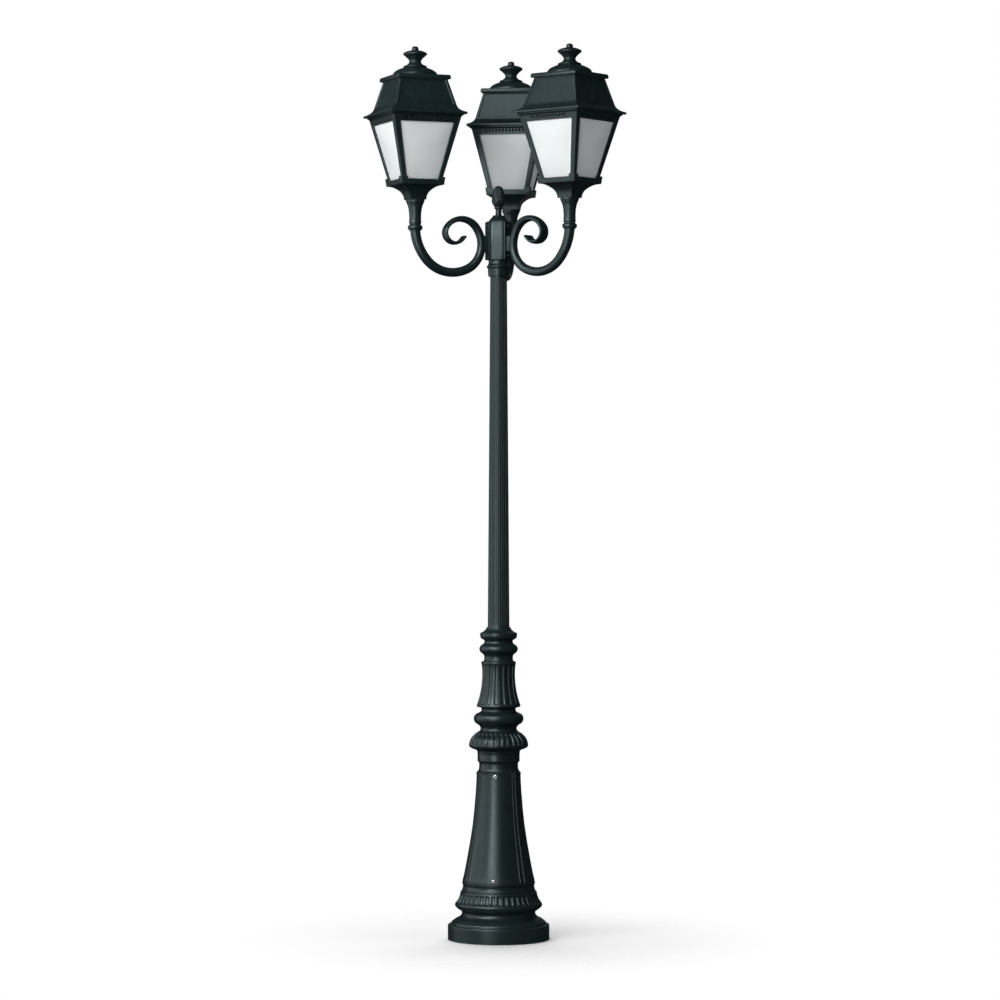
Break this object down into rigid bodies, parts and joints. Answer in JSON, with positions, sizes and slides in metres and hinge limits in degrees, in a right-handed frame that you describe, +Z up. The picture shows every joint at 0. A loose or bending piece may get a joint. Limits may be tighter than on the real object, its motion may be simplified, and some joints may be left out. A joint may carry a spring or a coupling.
{
  "type": "triple head lamp post",
  "caption": "Free-standing garden lamp post: turned cast pedestal with service door, fluted pole, hexagonal hub, scrolled arms and square coach lanterns with opal panes.",
  "frame": {"origin": "centre of the base's underside, on the ground, which is also the centre of the ground bolts", "axes": "+Z up along the post; -Y to the front, where the service door is; one arm points to +Y, the other two 120 degrees either side"},
  "size_m": [0.744, 0.6443, 2.5],
  "materials": {
    "post_paint": "satin dark blue-green powder coat on cast aluminium",
    "opal_pane": "opal, white, lightly frosted",
    "lamp_glass": "opal lamp with a nickel cap",
    "porcelain": "glazed porcelain",
    "bright_steel": "bright stainless",
    "dark_screw": "painted with the post",
    "zinc_steel": "zinc plated",
    "brass": "plain",
    "grey_plastic": "moulded, matt",
    "cable_sheath": "black sheath"
  },
  "bodies": {
    "root": {"anchor_flange": "zinc_steel", "arm_left": "post_paint", "arm_neck_left": "post_paint", "arm_neck_rear": "post_paint", "arm_neck_right": "post_paint", "arm_plate_left": "post_paint", "arm_plate_rear": "post_paint", "arm_plate_right": "post_paint", "arm_plate_screws": "dark_screw", "arm_rear": "post_paint", "arm_right": "post_paint", "base_bolts": "zinc_steel", "base_casting": "post_paint", "earth_stud": "brass", "fuse_box": "grey_plastic", "gear_rail": "zinc_steel", "hub_body": "post_paint", "hub_cap": "post_paint", "hub_collar": "post_paint", "lamp_holder_left": "porcelain", "lamp_holder_rear": "porcelain", "lamp_holder_right": "porcelain", "lantern_base_left": "post_paint", "lantern_base_rear": "post_paint", "lantern_base_right": "post_paint", "lantern_fixing_studs": "zinc_steel", "lantern_frame_left": "post_paint", "lantern_frame_rear": "post_paint", "lantern_frame_right": "post_paint", "lantern_panes_left": "opal_pane", "lantern_panes_rear": "opal_pane", "lantern_panes_right": "opal_pane", "lead_wire_left": "cable_sheath", "lead_wire_rear": "cable_sheath", "lead_wire_right": "cable_sheath", "mast_cable": "cable_sheath", "pedestal_bolts": "zinc_steel", "pedestal_upper": "post_paint", "pinecone_finial": "post_paint", "pole": "post_paint", "pole_nut_lower": "zinc_steel", "pole_nut_upper": "zinc_steel", "terminal_block": "grey_plastic"},
    "door": {"access_door": "post_paint", "door_screws": "bright_steel"},
    "roof_left": {"roof_left": "post_paint", "roof_cap_left": "post_paint", "roof_finial_left": "post_paint", "roof_screws_left": "dark_screw"},
    "lamp_left": {"lamp_bulb_left": "lamp_glass"},
    "roof_right": {"roof_right": "post_paint", "roof_cap_right": "post_paint", "roof_finial_right": "post_paint", "roof_screws_right": "dark_screw"},
    "lamp_right": {"lamp_bulb_right": "lamp_glass"},
    "roof_rear": {"roof_rear": "post_paint", "roof_cap_rear": "post_paint", "roof_finial_rear": "post_paint", "roof_screws_rear": "dark_screw"},
    "lamp_rear": {"lamp_bulb_rear": "lamp_glass"}
  },
  "joints": [
    {"name": "door_lift_off", "type": "slide", "parent": "root", "child": "door", "axis": [0, -1, 0], "range_m": [0, 0.12]},
    {"name": "roof_lift_left", "type": "slide", "parent": "root", "child": "roof_left", "axis": [0, 0, 1], "range_m": [0, 0.15]},
    {"name": "lamp_draw_left", "type": "slide", "parent": "root", "child": "lamp_left", "axis": [0, 0, 1], "range_m": [0, 0.028]},
    {"name": "roof_lift_right", "type": "slide", "parent": "root", "child": "roof_right", "axis": [0, 0, 1], "range_m": [0, 0.15]},
    {"name": "lamp_draw_right", "type": "slide", "parent": "root", "child": "lamp_right", "axis": [0, 0, 1], "range_m": [0, 0.028]},
    {"name": "roof_lift_rear", "type": "slide", "parent": "root", "child": "roof_rear", "axis": [0, 0, 1], "range_m": [0, 0.15]},
    {"name": "lamp_draw_rear", "type": "slide", "parent": "root", "child": "lamp_rear", "axis": [0, 0, 1], "range_m": [0, 0.028]}
  ]
}
